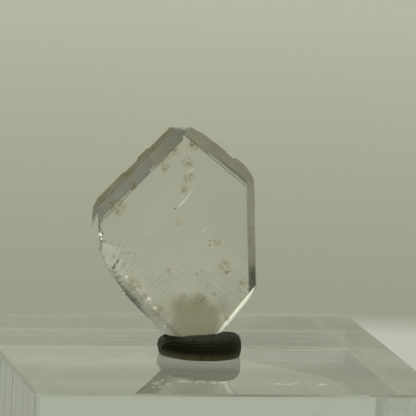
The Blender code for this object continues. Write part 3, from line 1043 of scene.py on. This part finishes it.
def press_ridges(pad, look):
    """Fine ridges that curve over the left end and run on to the right, and a slightly lumpy skin."""
    centre = PUTTY_PLACE + RIDGE_MIDDLE
    outward = [vert.normal.copy() for vert in pad.data.vertices]
    for vert in pad.data.vertices:
        here = vert.co / MM
        away = (vert.co - centre) / MM
        above_foot = held((vert.co.z - BLOCK_TOP) / 0.0004)
        lumps = 0.05 * noise.noise(here * 0.8) + 0.02 * noise.noise(here * 2.6)
        out_from_middle = hypot(min(0.0, away.x) * 0.8, away.z - 0.05 * max(0.0, away.x))
        waved = out_from_middle + 0.14 * noise.noise(here * 0.7)
        strength = held((away.z + 0.35) / 0.4) * held(1.0 - (away.x - 1.2) / 4.0)
        crest = 1.0 - 2.0 * abs(sin(pi * waved * MM / look.ridge_spacing))
        ridges = crest * look.ridge_depth / MM * strength
        crease = sin((here.x * 0.3 + here.z * 2.2 + noise.noise(here * 0.5)) * 5.5)
        folds = 0.018 * crease * (1.0 - strength)
        vert.co += outward[vert.index] * (lumps + ridges + folds) * MM * above_foot


class TWIN_OT_putty(bpy.types.Operator):
    """Builds the pressed putty that holds the twin on its block"""

    bl_idname = "twin.putty"
    bl_label = "Putty"

    def execute(self, context):
        look = context.scene.twin_putty
        pad = pressed_pad("pressed_putty")
        cut_away(pad, shrunk_twin("root_form", on_plate(0.6, 3.0), 0.985))
        modify(pad, "REMESH", mode="VOXEL", voxel_size=look.voxel)
        press_ridges(pad, look)
        only(pad)
        bpy.ops.object.shade_smooth()
        finish_piece(pad, putty_material(look))
        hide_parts("mounting_putty")
        return {"FINISHED"}


# Groups of short scratches on the block's top: middle, half width and half depth in mm, and how many.
SCRATCHES = (
    (-3.1, -17.6, 3.2, 0.8, 16), (7.9, -18.6, 3.4, 0.6, 14), (-8.4, -19.5, 1.2, 2.0, 8),
)
# They run across the view, so they catch the light from the front; they also glow, a painted glint.
SCRATCH_TURN = radians(-12.4)
SCRATCH_GLOW = 0.3


def scratch_places():
    """Places for the scratches of each group, of uneven length and turn."""
    dice = random.Random(41)
    places = []
    for across, away, wide, deep, count in SCRATCHES:
        for _ in range(count):
            at = Vector((across + dice.uniform(-wide, wide), away + dice.gauss(0.0, deep * 0.5), 0.0)) * MM
            turn = Matrix.Rotation(SCRATCH_TURN + dice.gauss(0.0, 0.12), 4, "Z")
            shape = Matrix.Diagonal((dice.uniform(0.25, 0.85), dice.uniform(0.05, 0.13), 0.03, 1.0))
            at.z = BLOCK_TOP + CLEAR_OF_BLOCK
            places.append(Matrix.Translation(at) @ turn @ shape)
    return places


def scratch_material(look):
    """The torn, whitened walls of a scratch, with a glow that is a painted glint."""
    material, tree = new_material("scratch")
    place = millimetres(tree)
    worn = spread(tree, noisy(tree, place, 3.0, 3.0), 0.35, 0.65)
    colour = mixed(tree, worn, look.scratch, SCRATCH_DUST)
    return glowing(material, colour, spread(tree, worn, 0.0, 1.0, 0.25, 0.6), SCRATCH_GLOW)


class TWIN_OT_block(bpy.types.Operator):
    """Gives the CAD block its clear, slightly rubbed acrylic, and scratches its top; the scratches glow as
    painted glints
    """

    bl_idname = "twin.block"
    bl_label = "Acrylic block"

    def execute(self, context):
        look = context.scene.twin_block
        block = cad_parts["acrylic_block"]
        material = acrylic_material(look)
        for slot in block.material_slots:
            slot.material = material
        scratches = copies_joined(rough_pebble("scratch", 2.0, 1), scratch_places(), "block_scratches")
        finish_piece(scratches, scratch_material(look))
        return {"FINISHED"}


TABLE_WIDTH = 12.0
TABLE_BELOW = 0.0002


def table(look):
    """A wide pale table just under the block."""
    bpy.ops.mesh.primitive_plane_add(size=TABLE_WIDTH, location=(0.0, 0.0, -TABLE_BELOW))
    floor = named("table")
    settle(floor)
    floor.data.materials.append(table_material(look))


# The way to a soft window behind the block on the left, and where its light sets in and is full.
WINDOW = (-0.441, 0.830, 0.342)
WINDOW_EDGE = (0.965, 0.99)


def soft_room(look):
    """Light from all round, brightest overhead, and a soft window."""
    world = bpy.data.worlds.new("soft_room")
    bpy.context.scene.world = world
    world.use_nodes = True
    tree = world.node_tree
    direction = put(tree, "TexCoord").outputs["Generated"]
    parts = split(tree, direction)
    height = spread(tree, parts[2], 0.0, 0.9, 0.66, 1.25)
    aside = spread(tree, maths(tree, "ABSOLUTE", parts[0]), 0.35, 1.0, 1.0, 0.62)
    level = times(tree, times(tree, height, aside), look.light_level)
    aimed = spread(tree, vectors(tree, "DOT_PRODUCT", direction, WINDOW), *WINDOW_EDGE)
    feed(tree, tree.nodes["Background"], {
        "Color": mixed(tree, spread(tree, parts[2], 0.1, 0.6), look.wall_colour, look.light_colour),
        "Strength": times_plus(tree, aimed, look.window_level, level),
    })


PANEL_PLACE = (0.05, 0.25, 1.1)
PANEL_SIZE = (1.3, 1.0)
PANEL_TILT = radians(-12)
PANEL_WATTS = 2.0


def overhead_light(look):
    """One large soft panel above and a little behind the block."""
    bpy.ops.object.light_add(type="AREA", location=PANEL_PLACE)
    panel = bpy.context.object
    panel.name = "soft_panel"
    panel.data.shape = "RECTANGLE"
    panel.data.size, panel.data.size_y = PANEL_SIZE
    panel.data.energy = PANEL_WATTS
    panel.data.color = look.light_colour
    panel.rotation_euler = (PANEL_TILT, 0.0, 0.0)


# The camera, found from the block's corners in the photograph: its place in metres, and its angles.
CAMERA_PLACE = (-0.12937, -0.58858, 0.14167)
CAMERA_HEADING = radians(12.402)
CAMERA_DIP = radians(9.289)
CAMERA_ROLL = radians(2.795)
CAMERA_LENS = 432.2
CAMERA_SENSOR = 36.0


def portrait_camera():
    """The photograph's camera, with its lens, place and slight roll."""
    bpy.ops.object.camera_add(location=CAMERA_PLACE)
    camera = bpy.context.object
    camera.name = "portrait"
    camera.data.lens = CAMERA_LENS
    camera.data.sensor_width = CAMERA_SENSOR
    camera.data.dof.use_dof = False
    turn = Matrix.Rotation(-CAMERA_HEADING, 4, "Z")
    turn @= Matrix.Rotation(radians(90) - CAMERA_DIP, 4, "X")
    turn @= Matrix.Rotation(CAMERA_ROLL, 4, "Z")
    camera.matrix_world = Matrix.Translation(CAMERA_PLACE) @ turn
    bpy.context.scene.camera = camera


def let_light_through(scene):
    """Lets light turn often enough inside the plate, whose edges send it to and fro many times."""
    scene.cycles.max_bounces = 32
    scene.cycles.glossy_bounces = 24
    scene.cycles.transmission_bounces = 24
    scene.cycles.transparent_max_bounces = 24


class TWIN_OT_stage(bpy.types.Operator):
    """Sets up the pale table, the soft light and the camera"""

    bl_idname = "twin.stage"
    bl_label = "Stage"

    def execute(self, context):
        look = context.scene.twin_stage
        table(look)
        soft_room(look)
        overhead_light(look)
        portrait_camera()
        let_light_through(context.scene)
        context.scene.view_settings.view_transform = "Standard"
        return {"FINISHED"}


STEPS = (
    TWIN_OT_crystal,
    TWIN_OT_cloud,
    TWIN_OT_stains,
    TWIN_OT_crack,
    TWIN_OT_putty,
    TWIN_OT_block,
    TWIN_OT_stage,
)


class TWIN_PT_panel(bpy.types.Panel):
    bl_idname = "TWIN_PT_panel"
    bl_label = "Twin Quartz"
    bl_space_type = "VIEW_3D"
    bl_region_type = "UI"
    bl_category = "Twin Quartz"

    def draw(self, context):
        for step in STEPS:
            self.layout.operator(step.bl_idname)
        for name, look in LOOKS.items():
            box = self.layout.box()
            for setting in look.__annotations__:
                box.prop(getattr(context.scene, name), setting)


def register():
    for kind in (*LOOKS.values(), *STEPS, TWIN_PT_panel):
        bpy.utils.register_class(kind)
    for name, look in LOOKS.items():
        setattr(bpy.types.Scene, name, PointerProperty(type=look))


def unregister():
    for name in LOOKS:
        delattr(bpy.types.Scene, name)
    for kind in (TWIN_PT_panel, *STEPS, *LOOKS.values()):
        bpy.utils.unregister_class(kind)


def main():
    register()
    bpy.ops.twin.stage()
    bpy.ops.twin.crystal()
    bpy.ops.twin.cloud()
    bpy.ops.twin.stains()
    bpy.ops.twin.crack()
    bpy.ops.twin.putty()
    bpy.ops.twin.block()


if __name__ == "__main__":
    main()
